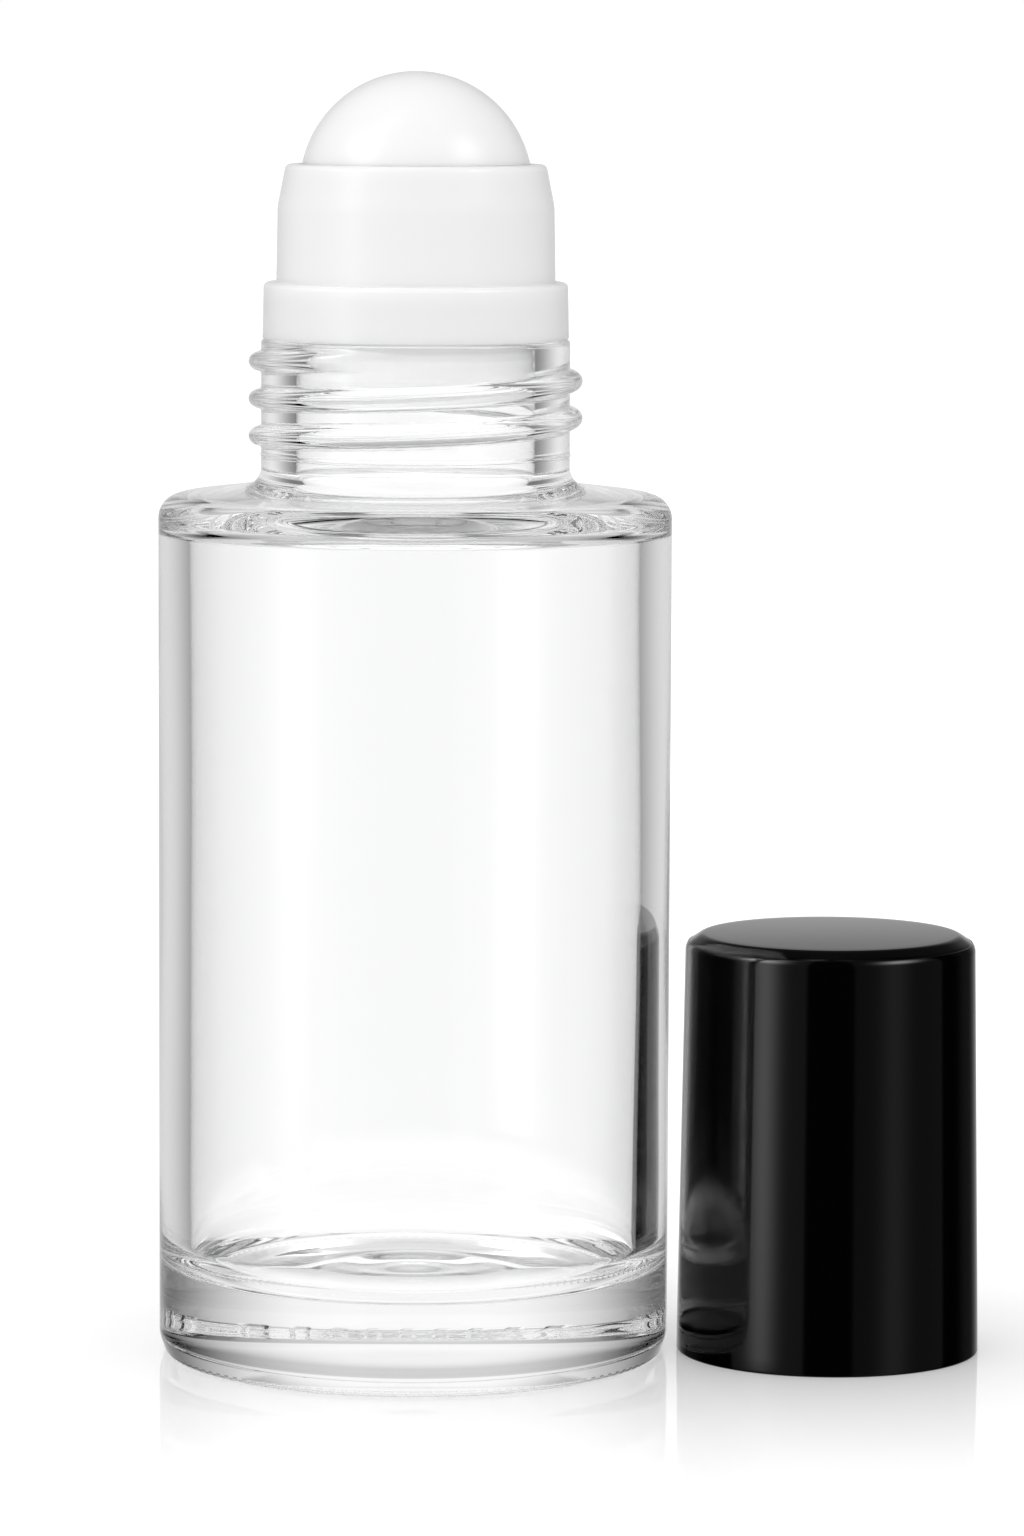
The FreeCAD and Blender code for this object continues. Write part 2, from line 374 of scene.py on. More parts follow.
def noise(tree, place, scale, detail=2.0, roughness=0.5):
    """Smooth noise between 0 and 1."""
    values = {"Vector": place, "Scale": scale, "Detail": detail, "Roughness": roughness}
    return add_node(tree, "ShaderNodeTexNoise", {}, values)


def bump(tree, height, distance):
    """A normal from a height, where a height of 1 is the distance in metres."""
    return add_node(tree, "ShaderNodeBump", {}, {"Height": height, "Distance": distance})


def rgba(value):
    """A colour with full alpha."""
    return (*value, 1.0)


STIPPLE_COUNT = 125
STIPPLE_SLANT = 3 / MM
STIPPLE_WIDTH = 0.3 * MM
STIPPLE_FADE_FROM = 0.25 * MM
STIPPLE_FADE_TO = 0.45 * MM
STIPPLE_DEPTH = 0.03
MOULD_WAVE_DEPTH = 0.006


def glass_material(finishes):
    """Clear glass with faint mould waves and stippled dashes at the foot ring's outer edge. The
    dashes are the crests of the sine of angle x count + radius x slant. Both depths are in
    millimetres."""
    material, tree = new_material("clear_glass")
    place = object_place(tree)
    x, y, z = split(tree, place)
    angle = y.math("ARCTAN2", x)
    reach = (x * x + y * y).math("SQRT")
    flat_edge = BODY_RADIUS - HEEL_INSET - FOOT_ROUND
    foot_ring = reach.rise(flat_edge - STIPPLE_WIDTH, flat_edge)
    foot_ring = foot_ring * (1 - z.rise(STIPPLE_FADE_FROM, STIPPLE_FADE_TO))
    dashes = (angle * STIPPLE_COUNT + reach * STIPPLE_SLANT).sine().rise(-0.2, 0.8)
    waves = noise(tree, place, scale=90.0, detail=1.0)
    height = dashes * foot_ring * STIPPLE_DEPTH + waves * MOULD_WAVE_DEPTH
    surface = add_node(tree, "ShaderNodeBsdfPrincipled", {}, {
        "Base Color": rgba(finishes.glass),
        "Roughness": 0.006,
        "IOR": 1.5,
        "Transmission Weight": 1.0,
        "Normal": bump(tree, height, distance=1 * MM),
    })
    finish_tree(tree, surface)
    return material


def housing_material(finishes):
    """Translucent white plastic with a satin skin, faint flow marks and slow shading."""
    material, tree = new_material("housing_plastic")
    place = object_place(tree)
    flow = noise(tree, place, scale=260.0, detail=3.0)
    shade = noise(tree, place, scale=60.0)
    darker = 0.97
    pale = add_node(tree, "ShaderNodeMix", {"data_type": "RGBA"}, {
        "Factor": shade.rise(0.3, 0.7) * 0.5,
        "A": rgba(finishes.housing),
        "B": rgba([value * darker for value in finishes.housing]),
    }, output=2)
    surface = add_node(tree, "ShaderNodeBsdfPrincipled", {}, {
        "Base Color": pale,
        "Roughness": 0.2 + flow * 0.08,
        "IOR": 1.49,
        "Subsurface Weight": 0.6,
        "Subsurface Radius": (1.0, 0.95, 0.95),
        "Subsurface Scale": 1.6 * MM,
        "Normal": bump(tree, flow, distance=0.012 * MM),
    })
    finish_tree(tree, surface)
    return material


def ball_material(finishes):
    """White plastic, polished, with the faintest unevenness."""
    material, tree = new_material("ball_plastic")
    haze = noise(tree, object_place(tree), scale=400.0, detail=3.0)
    surface = add_node(tree, "ShaderNodeBsdfPrincipled", {}, {
        "Base Color": rgba(finishes.ball),
        "Roughness": 0.2 + haze * 0.06,
        "IOR": 1.46,
        "Subsurface Weight": 0.5,
        "Subsurface Radius": (1.0, 0.97, 1.0),
        "Subsurface Scale": 1.5 * MM,
        "Normal": bump(tree, haze, distance=0.006 * MM),
    })
    finish_tree(tree, surface)
    return material


def cap_material(finishes):
    """Glossy black plastic with faint wear in its gloss and a slow swell in its surface."""
    material, tree = new_material("cap_plastic")
    place = object_place(tree)
    wear = noise(tree, place, scale=700.0, detail=4.0, roughness=0.6)
    swell = noise(tree, place, scale=45.0, detail=1.0)
    surface = add_node(tree, "ShaderNodeBsdfPrincipled", {}, {
        "Base Color": rgba(finishes.cap),
        "Roughness": 0.07 + wear * 0.03,
        "IOR": 1.5,
        "Normal": bump(tree, swell, distance=0.02 * MM),
    })
    finish_tree(tree, surface)
    return material


def insert_material(finishes):
    """Natural plastic, a little translucent."""
    material, tree = new_material("insert_plastic")
    flow = noise(tree, object_place(tree), scale=300.0, detail=3.0)
    surface = add_node(tree, "ShaderNodeBsdfPrincipled", {}, {
        "Base Color": rgba(finishes.insert),
        "Roughness": 0.4 + flow * 0.1,
        "IOR": 1.49,
        "Subsurface Weight": 0.4,
        "Subsurface Scale": 1.2 * MM,
        "Normal": bump(tree, flow, distance=0.01 * MM),
    })
    finish_tree(tree, surface)
    return material


# Pieces

# Shares are of a turn or, at the thread's root, of its depth and half width.
THREAD_START_SHARE = 60 / 360
THREAD_TURNS_SHARE = 925 / 360
THREAD_FADE_SHARE = 50 / 360
THREAD_BELOW_LIP = 1.0 * MM
THREAD_HALF_WIDTH = 0.74 * MM
THREAD_ROOT_SHARE = 0.15
THREAD_ROOT_END = 1.3
THREAD_ROOT_FADE = 0.5
HEEL_INSET = 0.5 * MM
HEEL_HEIGHT = 1.4 * MM
HEEL_ROUND = 1.85 * MM
FOOT_ROUND = 0.6 * MM
BEARING_WIDTH = 3.6 * MM
PUSH_UP_POWER = 4
PUSH_UP_ROWS = 24
SHOULDER_EDGE_ROUND = 1.7 * MM
SHOULDER_TOP_ROUND = 1.5 * MM
PLAIN_NECK = 3.2 * MM
LIP_ROUND = 0.55 * MM
BORE_FOOT_ROUND = 1.5 * MM
CEILING_ROUND = 1.4 * MM
NECK_STEP = 0.065 * MM
FLOOR_STEP = 0.4 * MM
SEAM_ABOVE_SHOULDER = 2.25 * MM
SEAM_PROUD = 0.07 * MM
SEAM_HALF_WIDTH = 0.2 * MM
# Each wave has its lobes round the wall, its climb in radians per metre, and its part of the height.
WALL_WAVES = ((3, 60.0, 1.0), (5, -110.0, 0.6))
AXIS_CLEARANCE = 0.1 * MM
RING_SPACING = 5.2 * MM
RING_REACH = 15 * MM
RING_BAND = 1 * MM


def thread_height(sizes, height, angle):
    """How far the thread stands out at a height and angle.

    The nearest turn of the helix is the whole number of turns that brings the helix height
    start + pitch x turns closest. The section is half an ellipse with a small fillet at its root,
    and it fades over a share of a turn at both ends.
    """
    start = LIP_HEIGHT - THREAD_BELOW_LIP - sizes.thread_pitch * THREAD_TURNS_SHARE
    turned = angle / (2 * math.pi) - THREAD_START_SHARE
    nearest = np.round((height - start) / sizes.thread_pitch - turned) + turned
    away = np.abs(height - start - sizes.thread_pitch * nearest) / THREAD_HALF_WIDTH
    root = THREAD_ROOT_SHARE * smooth((THREAD_ROOT_END - away) / THREAD_ROOT_FADE)
    section = np.sqrt(np.maximum(0, 1 - away ** 2) + root ** 2)
    from_end = np.minimum(nearest, THREAD_TURNS_SHARE - nearest)
    return sizes.thread_depth * section * smooth(from_end / THREAD_FADE_SHARE)


def seam_height(sizes, height):
    """How far the mould's parting line stands out: a smooth bump at one height round the neck."""
    seam = sizes.shoulder_edge + sizes.shoulder_rise + SEAM_ABOVE_SHOULDER
    return SEAM_PROUD * smooth(1 - np.abs(height - seam) / SEAM_HALF_WIDTH)


def wall_wave(sizes, radius, height, angle):
    """The slow waves of the inner wall: sines of lobes x angle + climb x height, each times its
    part. They start between two and three bases up and fade over one base to the shoulder."""
    wave = sum(part * np.sin(lobes * angle + climb * height) for lobes, climb, part in WALL_WAVES)
    wave *= smooth(height / sizes.base - 2) * smooth((sizes.shoulder_edge - height) / sizes.base)
    return sizes.wave * wave * radius / BODY_RADIUS


def floor_rings(sizes, radius):
    """The rings of the inner floor: a cosine of the radius that fades with the radius."""
    rings = np.cos(radius * 2 * math.pi / RING_SPACING)
    return sizes.ripple * rings * (1 - smooth(radius / RING_REACH))


def bottle_outline(sizes):
    """The glass from the underside's middle, out and up to the lip, down the bore and back to the
    floor's middle. Also says which points lie on the outside of the neck, and which inside."""
    foot = BODY_RADIUS - HEEL_INSET
    bearing = foot - BEARING_WIDTH
    cavity = BODY_RADIUS - sizes.wall
    bore = sizes.neck_radius - sizes.neck_wall
    shoulder_top = sizes.shoulder_edge + sizes.shoulder_rise
    ceiling = sizes.shoulder_edge - sizes.shoulder_wall
    slope = sizes.shoulder_rise / (BODY_RADIUS - sizes.neck_radius)
    reach = np.linspace(0, 1, PUSH_UP_ROWS)[:, None]
    dome = np.hstack([reach * bearing, sizes.push_up * (1 - reach ** PUSH_UP_POWER)])
    body = outline([
        (bearing, 0, 0),
        (foot, 0, FOOT_ROUND),
        (BODY_RADIUS, HEEL_HEIGHT, HEEL_ROUND),
        (BODY_RADIUS, sizes.shoulder_edge, SHOULDER_EDGE_ROUND),
        (sizes.neck_radius, shoulder_top, SHOULDER_TOP_ROUND),
        (sizes.neck_radius, shoulder_top + PLAIN_NECK, 0),
    ])[:-1]
    below_neck = np.vstack([dome[:-1], body])
    lip_start = LIP_HEIGHT - LIP_ROUND
    neck = spread(below_neck[-1], np.array([sizes.neck_radius, lip_start]), NECK_STEP)[1:]
    wall = outline([
        (sizes.neck_radius, lip_start, 0),
        (sizes.neck_radius, LIP_HEIGHT, LIP_ROUND),
        (bore, LIP_HEIGHT, LIP_ROUND),
        (bore, ceiling + slope * (cavity - bore), BORE_FOOT_ROUND),
        (cavity, ceiling, CEILING_ROUND),
        (cavity, sizes.base, sizes.floor_round),
        (cavity - 2 * sizes.floor_round, sizes.base, 0),
    ])[1:]
    floor = spread(wall[-1], np.array([0, sizes.base]), FLOOR_STEP)[1:]
    points = np.vstack([below_neck, neck, wall, floor])
    row = np.arange(len(points))
    neck_end = len(below_neck) + len(neck)
    return points, (row >= len(below_neck)) & (row < neck_end), row >= neck_end


class ROLLON_OT_glass_bottle(bpy.types.Operator):
    """Makes the glass bottle with its thread and heavy base"""

    bl_idname = "rollon.glass_bottle"
    bl_label = "Glass bottle"

    def execute(self, context):
        sizes = context.scene.bottle_sizes
        points, on_neck, on_inside = bottle_outline(sizes)
        radius, height, angle = turn(points)
        radius, height = radius.copy(), height.copy()
        radius[on_neck] += thread_height(sizes, height[on_neck], angle[on_neck])
        radius[on_neck] += seam_height(sizes, height[on_neck])
        cavity = on_inside & (points[:, 1] < sizes.shoulder_edge) & (points[:, 0] > AXIS_CLEARANCE)
        radius[cavity] += wall_wave(sizes, radius, height, angle)[cavity]
        floor = on_inside & (points[:, 1] < sizes.base + RING_BAND)
        height[floor] += floor_rings(sizes, radius)[floor]
        piece = ring_object("clear_bottle", radius, height, angle)
        settle(piece, "bottle",
               glass_material(context.scene.bottle_finishes), "glass_bottle")
        return {"FINISHED"}


FEED_SLOTS = 4
FEED_SLOT_HALF_WIDTH = 0.7 * MM
FEED_SLOT_REACH = 6.65 * MM
FEED_HOLE_RADIUS = 3.1 * MM
SLOT_LEAST_SINE = 0.01
SEAT_ROWS = 40
CUP_ROWS = 16
LEAD_IN = 0.5 * MM
SKIRT_CORE_GAP = 0.61 * MM
SKIRT_CORE_WIDTH = 1.2 * MM
SKIRT_CORE_HEIGHT = 3.1 * MM
SKIRT_DRAFT = 0.08 * MM
SLEEVE_DRAFT = 0.1 * MM
RIM_INSET = 0.7 * MM
RIM_BAND = 0.1 * MM
EDGE_ROUND = 0.1 * MM
PLUG_FOOT_ROUND = 0.15 * MM
SKIRT_CORE_ROUND = 0.2 * MM
SKIRT_FOOT_ROUND = 0.18 * MM
LEDGE_ROUND = 0.4 * MM
SLEEVE_FOOT_ROUND = 0.25 * MM
SLEEVE_TOP_ROUND = 3.0 * MM
RIM_ROUND = 0.45 * MM
HOUSING_STEP = 0.8 * MM


def feed_edge(angle):
    """Radius of the feed opening at an angle: a round hole crossed by straight slots. A slot's
    side lies at half its width over the sine of the angle away from the slot's middle."""
    between = 2 * math.pi / FEED_SLOTS
    away = np.abs(angle % between - between / 2)
    slot = FEED_SLOT_HALF_WIDTH / np.maximum(np.sin(away), SLOT_LEAST_SINE)
    return np.clip(slot, FEED_HOLE_RADIUS, FEED_SLOT_REACH)


def bowl(radius, start, end, steps):
    """Radius and height on a sphere round the ball's centre, between two angles from its foot,
    each of which can differ from column to column."""
    reach = start + (end - start) * np.linspace(0, 1, steps)[:, None]
    return radius * np.sin(reach), BALL_HEIGHT - radius * np.cos(reach)


class ROLLON_OT_ball_housing(bpy.types.Operator):
    """Makes the housing that holds the ball and plugs the neck"""

    bl_idname = "rollon.ball_housing"
    bl_label = "Ball housing"

    def execute(self, context):
        sizes = context.scene.housing_sizes
        bottle = context.scene.bottle_sizes
        plug = bottle.neck_radius - bottle.neck_wall - sizes.plug_gap
        core = plug - sizes.plug_wall
        seat = BALL_RADIUS + sizes.running_gap
        cup = seat + sizes.cup_wall
        lip = math.pi - math.acos((RIM_HEIGHT - BALL_HEIGHT) / seat)
        cup_foot = BALL_HEIGHT - math.sqrt(cup ** 2 - core ** 2)
        outside = self.outside(sizes, plug, core, cup_foot, seat * math.sin(lip))
        radius, height, angle = turn(outside[:-1])
        edge = feed_edge(angle[0])
        inside = bowl(seat, np.arcsin(edge / seat), lip, SEAT_ROWS)
        under = bowl(cup, np.arcsin(edge / cup), math.asin(core / cup), CUP_ROWS)
        radius = np.vstack([radius, inside[0][::-1], under[0][:-1]])
        height = np.vstack([height, inside[1][::-1], under[1][:-1]])
        angle = np.broadcast_to(angle[0], radius.shape)
        piece = ring_object("roller_housing", radius, height, angle, closed=True)
        settle(piece, "housing",
               housing_material(context.scene.bottle_finishes), "ball_housing")
        return {"FINISHED"}

    def outside(self, sizes, plug, core, cup_foot, rim_inner):
        """From the cup's foot down the plug's core, up over its ribs, round the skirt and its cored
        underside, and up the sleeve to the rim."""
        ledge = LIP_HEIGHT + sizes.ledge
        sleeve_top = ledge + sizes.sleeve
        core_inner = plug + SKIRT_CORE_GAP
        core_outer = core_inner + SKIRT_CORE_WIDTH
        core_top = LIP_HEIGHT + SKIRT_CORE_HEIGHT
        groove = plug - sizes.rib_proud
        first_rib = PLUG_FOOT + LEAD_IN
        above_ribs = first_rib + sizes.rib_spacing * sizes.rib_count
        ribs = []
        for index in range(sizes.rib_count):
            middle = first_rib + sizes.rib_spacing * (index + 0.5)
            ribs += [
                (groove, middle - sizes.rib_half_height, 0),
                (plug, middle, sizes.rib_half_height),
                (groove, middle + sizes.rib_half_height, 0),
            ]
        return outline([
            (core, cup_foot, 0),
            (core, PLUG_FOOT, PLUG_FOOT_ROUND),
            (plug - LEAD_IN, PLUG_FOOT, EDGE_ROUND),
            (groove, first_rib - sizes.rib_proud, EDGE_ROUND),
            *ribs,
            (groove, above_ribs, 0),
            (plug, above_ribs, 0),
            (plug, LIP_HEIGHT, 0),
            (core_inner, LIP_HEIGHT, 0),
            (core_inner, core_top, SKIRT_CORE_ROUND),
            (core_outer, core_top, SKIRT_CORE_ROUND),
            (core_outer, LIP_HEIGHT, EDGE_ROUND),
            (SKIRT_RADIUS, LIP_HEIGHT, SKIRT_FOOT_ROUND),
            (SKIRT_RADIUS - SKIRT_DRAFT, ledge, LEDGE_ROUND),
            (sizes.sleeve_radius, ledge, SLEEVE_FOOT_ROUND),
            (sizes.sleeve_radius - SLEEVE_DRAFT, sleeve_top, SLEEVE_TOP_ROUND),
            (sizes.sleeve_radius - RIM_INSET, RIM_HEIGHT, RIM_ROUND),
            (rim_inner, RIM_HEIGHT, EDGE_ROUND),
            (rim_inner, RIM_HEIGHT - RIM_BAND, 0),
        ], step=HOUSING_STEP)


BALL_ROWS = 121


class ROLLON_OT_roller_ball(bpy.types.Operator):
    """Makes the rolling ball"""

    bl_idname = "rollon.roller_ball"
    bl_label = "Roller ball"

    def execute(self, context):
        reach = np.linspace(0, math.pi, BALL_ROWS)
        points = np.stack([BALL_RADIUS * np.sin(reach), BALL_HEIGHT - BALL_RADIUS * np.cos(reach)], -1)
        points[[0, -1], 0] = 0
        piece = ring_object("rolling_ball", *turn(points, FEWER_COLUMNS))
        settle(piece, "ball",
               ball_material(context.scene.bottle_finishes), "roller_ball")
        return {"FINISHED"}


CAP_SIDE_END = 0.75 * MM
CAP_TOP_INSET = 1.15 * MM
CAP_SIDE_ROUND = 1.05 * MM
CAP_TOP_ROUND = 0.9 * MM
CAP_MOUTH_ROUND = 0.2 * MM
CAP_CROWN_ROUND = 0.8 * MM
CAP_STEP = 1.0 * MM
INSERT_GAP = 0.04 * MM
INSERT_WALL = 0.9 * MM
INSERT_SLEEVE = 6.72 * MM
INSERT_FLOOR = 1.0 * MM
INSERT_CHAMFER = 0.8 * MM
INSERT_FOOT_ROUND = 0.45 * MM
INSERT_FLOOR_ROUND = 0.6 * MM
INSERT_STEP = 1.5 * MM
SEAL_INNER = 5.1 * MM
SEAL_OUTER = 5.9 * MM
SEAL_INNER_FOOT = 4.0 * MM
SEAL_OUTER_FOOT = 3.36 * MM
SEAL_ROUND = 0.3 * MM


def cap_radius_at(sizes, height, mouth_radius):
    """The radius of a cap surface, which narrows steadily from the mouth to the top."""
    return mouth_radius - sizes.draft * height / CAP_HEIGHT


class ROLLON_OT_cap(bpy.types.Operator):
    """Makes the black cap and the insert inside it"""

    bl_idname = "rollon.cap"
    bl_label = "Cap and insert"

    def execute(self, context):
        sizes = context.scene.cap_sizes
        finishes = context.scene.bottle_finishes
        side_top = CAP_HEIGHT - CAP_SIDE_END
        crown_under = CAP_HEIGHT - sizes.crown
        bore = CAP_RADIUS - sizes.wall
        top_radius = cap_radius_at(sizes, side_top, CAP_RADIUS)
        points = outline([
            (0, crown_under, 0),
            (cap_radius_at(sizes, crown_under, bore), crown_under, CAP_CROWN_ROUND),
            (bore, 0, CAP_MOUTH_ROUND),
            (CAP_RADIUS, 0, CAP_MOUTH_ROUND),
            (top_radius, side_top, CAP_SIDE_ROUND),
            (top_radius - CAP_TOP_INSET, CAP_HEIGHT, CAP_TOP_ROUND),
            (0, CAP_HEIGHT, 0),
        ], step=CAP_STEP)
        on_top = points[:, 1] > CAP_HEIGHT - sizes.crown / 2
        points[on_top, 1] -= sizes.dome * (points[on_top, 0] / top_radius) ** 2
        piece = ring_object("black_cap", *turn(points), centre=CAP_X)
        settle(piece, "cap", cap_material(finishes), "cap_shell")
        self.make_insert(sizes, bore, finishes)
        return {"FINISHED"}

    def make_insert(self, sizes, bore, finishes):
        """The insert: a sleeve in the cap's bore, a floor and the ring that seals the ball."""
        def sleeve(height, inset=0.0):
            return cap_radius_at(sizes, height, bore - INSERT_GAP) - inset

        floor_under = INSERT_FOOT + INSERT_SLEEVE
        floor_top = floor_under + INSERT_FLOOR
        shoulder = INSERT_TOP - INSERT_CHAMFER
        points = outline([
            (0, floor_under, 0),
            (SEAL_INNER, floor_under, SEAL_ROUND),
            (SEAL_INNER, INSERT_FOOT + SEAL_INNER_FOOT, EDGE_ROUND),
            (SEAL_OUTER, INSERT_FOOT + SEAL_OUTER_FOOT, EDGE_ROUND),
            (SEAL_OUTER, floor_under, INSERT_FLOOR_ROUND),
            (sleeve(floor_under, INSERT_WALL), floor_under, INSERT_FLOOR_ROUND),
            (sleeve(INSERT_FOOT, INSERT_WALL), INSERT_FOOT, EDGE_ROUND),
            (sleeve(INSERT_FOOT), INSERT_FOOT, INSERT_FOOT_ROUND),
            (sleeve(shoulder), shoulder, EDGE_ROUND),
            (sleeve(shoulder, INSERT_CHAMFER), INSERT_TOP, EDGE_ROUND),
            (sleeve(INSERT_TOP, INSERT_WALL + INSERT_CHAMFER), INSERT_TOP, EDGE_ROUND),
            (sleeve(floor_top, INSERT_WALL), floor_top, INSERT_FLOOR_ROUND),
            (0, floor_top, 0),
        ], step=INSERT_STEP)
        piece = ring_object("cap_liner", *turn(points, FEWER_COLUMNS), centre=CAP_X)
        settle(piece, "cap", insert_material(finishes), "cap_insert")


# Studio

# The camera is fitted to the photograph. Its angles are in radians.
CAMERA_PLACE = Vector((0, -508.07 * MM, 100.50 * MM))
CAMERA_PITCH = 0.1112
CAMERA_YAW = 0.01423
CAMERA_ROLL = 0.0041
FOCAL_PIXELS = 6879.5
PICTURE_HEIGHT = 1536
SENSOR = 36.0
CLIP_START = 0.01
CLIP_END = 100
DEGREES = 180 / math.pi
PANEL_EDGE = 2
LIGHT_FROM = (-0.41, -0.71, 0.57)
FLOOR_RADII = (0.0, 0.1, 0.4, 2.0, 30.0)
FLOOR_COLUMNS = 64
FLOOR_GREY = 0.86
FLOOR_GLOW = 0.26
# Painted shade: how much weaker the floor's glow seen by the camera is at a foot.
FLOOR_PAINTED_SHADE_DIP = 0.12
MOST_BOUNCES = 128
DIFFUSE_BOUNCES = 16
TRANSMISSION_BOUNCES = 64


def bell(wire, middle, width):
    """e to the power of minus ((wire - middle) / width) squared."""
    offset = (wire - middle) / width
    return (offset * offset * -1).math("EXPONENT")


class Sky:
    """Where a ray leaves the scene, as wires in degrees: its bearing away from the camera's side,
    positive towards the cap, and its elevation above the floor."""

    def __init__(self, tree):
        self.tree = tree
        self.direction = split(tree, add_node(tree, "ShaderNodeTexCoord", output="Generated"))
        x, y, z = self.direction
        self.bearing = x.math("ARCTAN2", y * -1) * DEGREES
        self.elevation = z.math("ARCSINE") * DEGREES
        self.from_camera = self.bearing.size()
        self.steep = self.elevation.size()
        self.down = self.elevation * -1

    def glow(self, middle, width):
        """A soft upright light at a bearing."""
        return bell(self.bearing, middle, width)

    def panel(self, middle, half_width):
        """An even upright light at a bearing, with narrow soft edges."""
        away = (self.bearing - middle).size()
        return 1 - away.rise(half_width - PANEL_EDGE, half_width + PANEL_EDGE)

    def over(self, name, count):
        """1 for a ray that has had at least count bounces of a kind."""
        return light_path(self.tree, name).above(count - 0.5)


def reflected_light(sky, studio):
    """What a reflection sees: a soft box with a weak wide panel on either side of the camera, a
    round soft patch high above each, and a pale backdrop that is brightest low down."""
    level_light = sky.elevation.rise(-14, -7.5)
    key = sky.glow(middle=-56, width=11) * level_light + sky.panel(middle=-51, half_width=29.5) * 0.1
    fill = sky.glow(middle=49, width=12) * 0.7 + sky.panel(middle=56, half_width=40) * 0.3
    patches = sky.glow(middle=-66, width=16) + sky.glow(middle=60, width=16)
    window = bell(sky.elevation, middle=34, width=10) * patches
    low, high = sky.elevation.rise(3, 13) * 0.42, sky.elevation.rise(16, 34) * 0.24
    backdrop = sky.from_camera.rise(110, 130) * 0.04
    backdrop = backdrop + sky.from_camera.rise(138, 180) * (0.68 - low - high)
    return key * studio.key + fill * studio.fill + window * studio.window + backdrop


def bent_light(sky):
    """What a ray sees that the glass has bent once: grey at the sides and bright behind. High and
    low it nears an even grey, far down it is lighter, and one band above the floor is darker."""
    even = 0.58
    bent = 0.2 + sky.from_camera.rise(116, 172) * 0.81
    bent = bent + sky.steep.rise(16, 55) * (even - bent) + sky.down.rise(30, 42) * 0.4
    band = sky.elevation.rise(10, 14) - sky.elevation.rise(20, 26)
    return bent - band * 0.35


def strayed_light(sky):
    """What a ray sees that the glass has led about inside: bright near the camera, dark at the
    sides, paler behind and below."""
    beside = 0.95 - sky.from_camera.rise(52, 60) * 0.84
    return beside + sky.from_camera.rise(108, 118) * 0.6 + sky.down.rise(18, 26) * 0.35


def light_through_glass(sky, studio, reflected):
    """What a ray sees that has entered the glass. Four crossings, in and out of both walls, count
    as straight through, unless it was also mirrored in the glass once or, at least three times,
    led along inside it."""
    crossed = sky.over("Transmission Depth", 4)
    bounced = sky.over("Glossy Depth", 1)
    guided = sky.over("Glossy Depth", 3)
    bent = bent_light(sky)
    straight = studio.through - sky.elevation.rise(10, 40) * 0.5
    returned = reflected + sky.steep.rise(12, 40) * 0.9
    through = bent + crossed * (straight - bent)
    through = through + crossed * bounced * (returned - through)
    return through + guided * (strayed_light(sky) - through)


def studio_world(world, studio):
    """White wherever the camera looks, also by way of the floor's mirror. Diffuse surfaces see an
    even light that is stronger at front left, and those inside the glass some more of it.
    Reflections and rays that leave through glass see the lights of the functions above."""
    world.use_nodes = True
    tree = world.node_tree
    tree.nodes.clear()
    sky = Sky(tree)
    x, y, z = [axis * part for axis, part in zip(sky.direction, LIGHT_FROM)]
    lit = studio.ambient + (x + y + z) * studio.slant
    reflected = reflected_light(sky, studio)

    first = 1 - sky.over("Diffuse Depth", 1)
    entered = sky.over("Transmission Depth", 1)
    in_glass = entered * first
    glossy = light_path(tree, "Is Glossy Ray")
    level = lit + glossy * first * (reflected - lit)
    level = level + in_glass * (light_through_glass(sky, studio, reflected) - level)
    level = level + entered * (1 - first) * lit * studio.lantern
    mirrored = light_path(tree, "Is Singular Ray") * glossy * (1 - in_glass)
    white = (light_path(tree, "Is Camera Ray") + mirrored).math("MINIMUM", 1.0)
    background = add_node(tree, "ShaderNodeBackground", {}, {
        "Color": (1, 1, 1, 1), "Strength": level + white * (1 - level)})
    finish_tree(tree, background, kind="ShaderNodeOutputWorld")


def floor_material(studio):
    """White floor that keeps shadows and gives a mirror image that fades away from each foot. Its glow, seen
    by the camera, is dimmed near each foot, which paints shade round the feet. Near is 1 under a foot and 0
    one mirror reach outside it."""
    material, tree = new_material("studio_floor")
    x, y = split(tree, object_place(tree))[:2]
    bottle_gap = (x * x + y * y).math("SQRT") - BODY_RADIUS
    cap_gap = ((x - CAP_X) * (x - CAP_X) + y * y).math("SQRT") - CAP_RADIUS
    nearest = bottle_gap.math("MINIMUM", cap_gap)
    away = nearest.rise(-studio.mirror_reach, studio.mirror_reach)
    near = ((1 - away) * 2).math("MINIMUM", 1.0)
    # The camera's glow on the floor dims near each foot: painted shade round the bottle and cap.
    glow_less_painted_shade = light_path(tree, "Is Camera Ray") * (FLOOR_GLOW - near * FLOOR_PAINTED_SHADE_DIP)
    plain = add_node(tree, "ShaderNodeBsdfDiffuse", {}, {"Color": rgba([FLOOR_GREY] * 3)})
    glow = add_node(tree, "ShaderNodeEmission", {}, {"Color": glow_less_painted_shade, "Strength": 1.0})
    white = add_node(tree, "ShaderNodeAddShader", {}, {0: plain, 1: glow})
    mirror = add_node(tree, "ShaderNodeBsdfGlossy", {}, {"Color": (1, 1, 1, 1), "Roughness": 0.0})
    surface = add_node(tree, "ShaderNodeMixShader", {}, {0: near * studio.mirror, 1: white, 2: mirror})
    finish_tree(tree, surface)
    return material


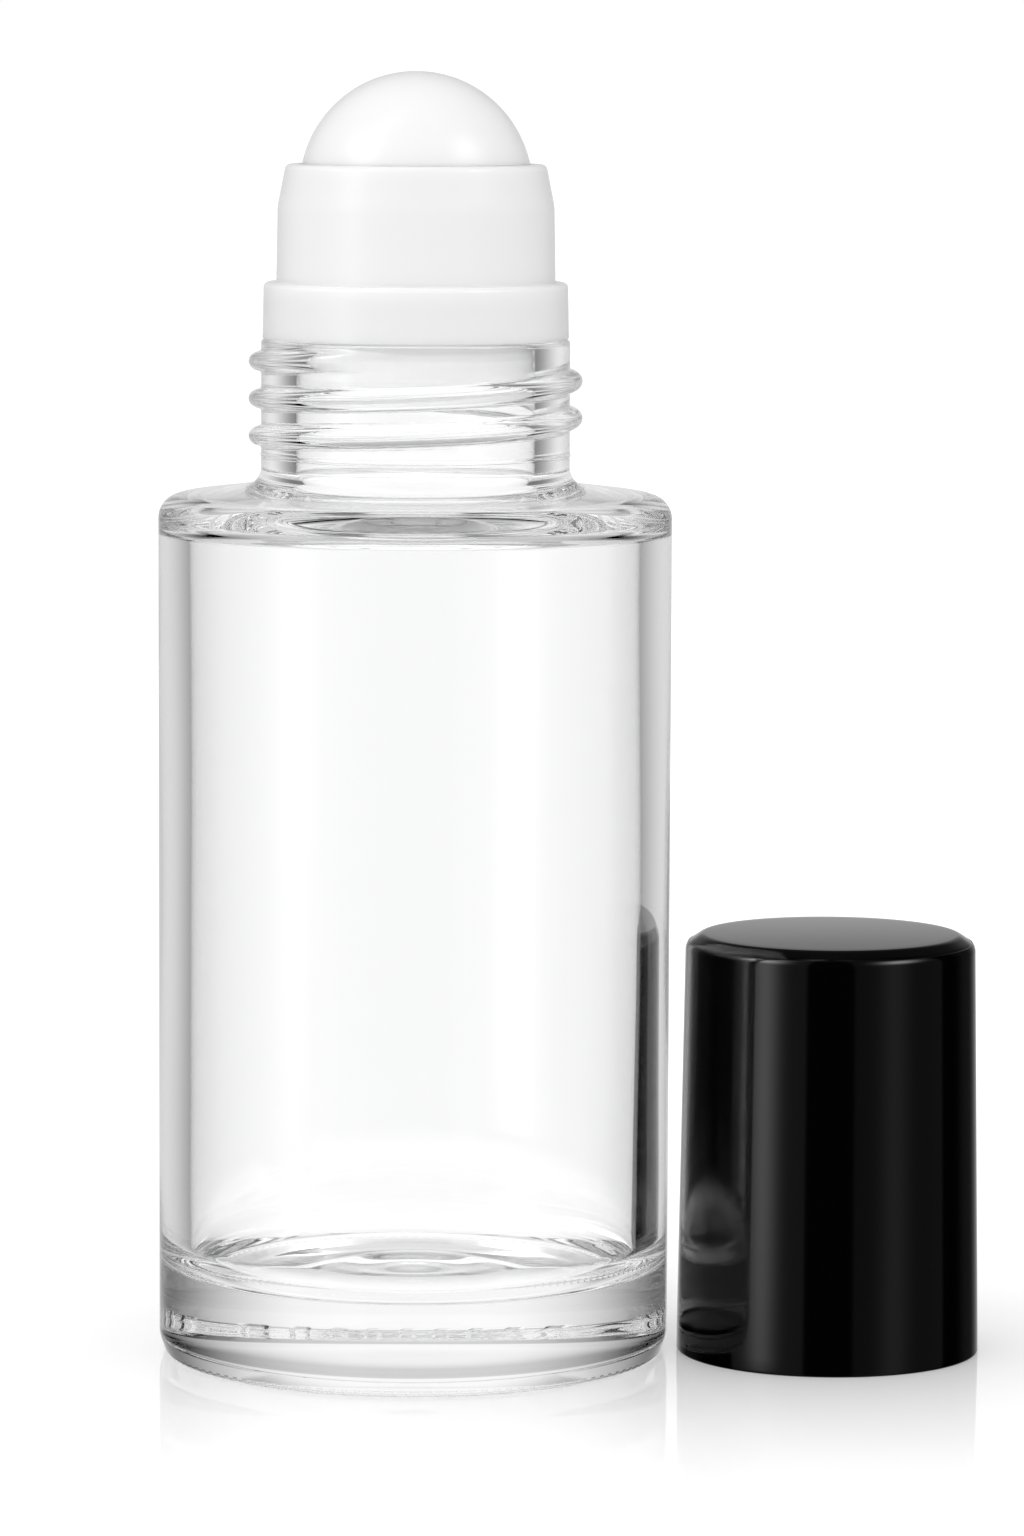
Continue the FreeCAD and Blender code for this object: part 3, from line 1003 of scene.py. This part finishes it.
class ROLLON_OT_studio(bpy.types.Operator):
    """Makes the floor, the surrounding light and the camera"""

    bl_idname = "rollon.studio"
    bl_label = "Studio"

    def execute(self, context):
        scene = context.scene
        studio = scene.bottle_studio
        points = np.array([(radius, 0.0) for radius in FLOOR_RADII])
        floor = ring_object("floor", *turn(points, FLOOR_COLUMNS))
        # The floor's rows run outwards, which leaves its faces pointing down.
        floor.data.flip_normals()
        floor.data.materials.append(floor_material(studio))
        floor.visible_glossy = False
        floor.visible_transmission = False
        scene.world = bpy.data.worlds.new("studio")
        studio_world(scene.world, studio)
        self.place_camera(scene)
        scene.view_settings.view_transform = "Standard"
        scene.cycles.max_bounces = MOST_BOUNCES
        scene.cycles.diffuse_bounces = DIFFUSE_BOUNCES
        scene.cycles.glossy_bounces = MOST_BOUNCES
        scene.cycles.transmission_bounces = TRANSMISSION_BOUNCES
        return {"FINISHED"}

    def place_camera(self, scene):
        """The camera looks along yaw and pitch, and rolls about its line of sight."""
        data = bpy.data.cameras.new("camera")
        data.lens = FOCAL_PIXELS / PICTURE_HEIGHT * SENSOR
        data.sensor_width = SENSOR
        data.clip_start = CLIP_START
        data.clip_end = CLIP_END
        camera = bpy.data.objects.new("camera", data)
        scene.collection.objects.link(camera)
        across = math.cos(CAMERA_PITCH)
        forward = Vector((math.sin(CAMERA_YAW) * across, math.cos(CAMERA_YAW) * across,
                          -math.sin(CAMERA_PITCH)))
        level = Vector((math.cos(CAMERA_YAW), -math.sin(CAMERA_YAW), 0))
        upright = level.cross(forward)
        right = level * math.cos(CAMERA_ROLL) + upright * math.sin(CAMERA_ROLL)
        up = upright * math.cos(CAMERA_ROLL) - level * math.sin(CAMERA_ROLL)
        camera.matrix_world = Matrix.Translation(CAMERA_PLACE) @ Matrix(
            (right, up, -forward)).transposed().to_4x4()
        scene.camera = camera


OPERATORS = (
    ROLLON_OT_glass_bottle,
    ROLLON_OT_ball_housing,
    ROLLON_OT_roller_ball,
    ROLLON_OT_cap,
    ROLLON_OT_studio,
)


class ROLLON_PT_panel(bpy.types.Panel):
    """Lists the pieces and the sizes and colours that they take"""

    bl_idname = "ROLLON_PT_panel"
    bl_label = "Roll On Bottle"
    bl_space_type = "VIEW_3D"
    bl_region_type = "UI"
    bl_category = "Roll On"

    def draw(self, context):
        for operator in OPERATORS:
            self.layout.operator(operator.bl_idname)
        for name, group in SETTINGS.items():
            box = self.layout.box()
            box.label(text=group.__doc__)
            settings = getattr(context.scene, name)
            for key in group.__annotations__:
                box.prop(settings, key)


CLASSES = (*SETTINGS.values(), *OPERATORS, ROLLON_PT_panel)


def register():
    for cls in CLASSES:
        bpy.utils.register_class(cls)
    for name, group in SETTINGS.items():
        setattr(bpy.types.Scene, name, bpy.props.PointerProperty(type=group))


def unregister():
    for name in SETTINGS:
        delattr(bpy.types.Scene, name)
    for cls in reversed(CLASSES):
        bpy.utils.unregister_class(cls)


def main():
    """Registers the classes and runs the operators in order."""
    register()
    for operator in OPERATORS:
        group, name = operator.bl_idname.split(".")
        getattr(getattr(bpy.ops, group), name)()


if __name__ == "__main__":
    main()
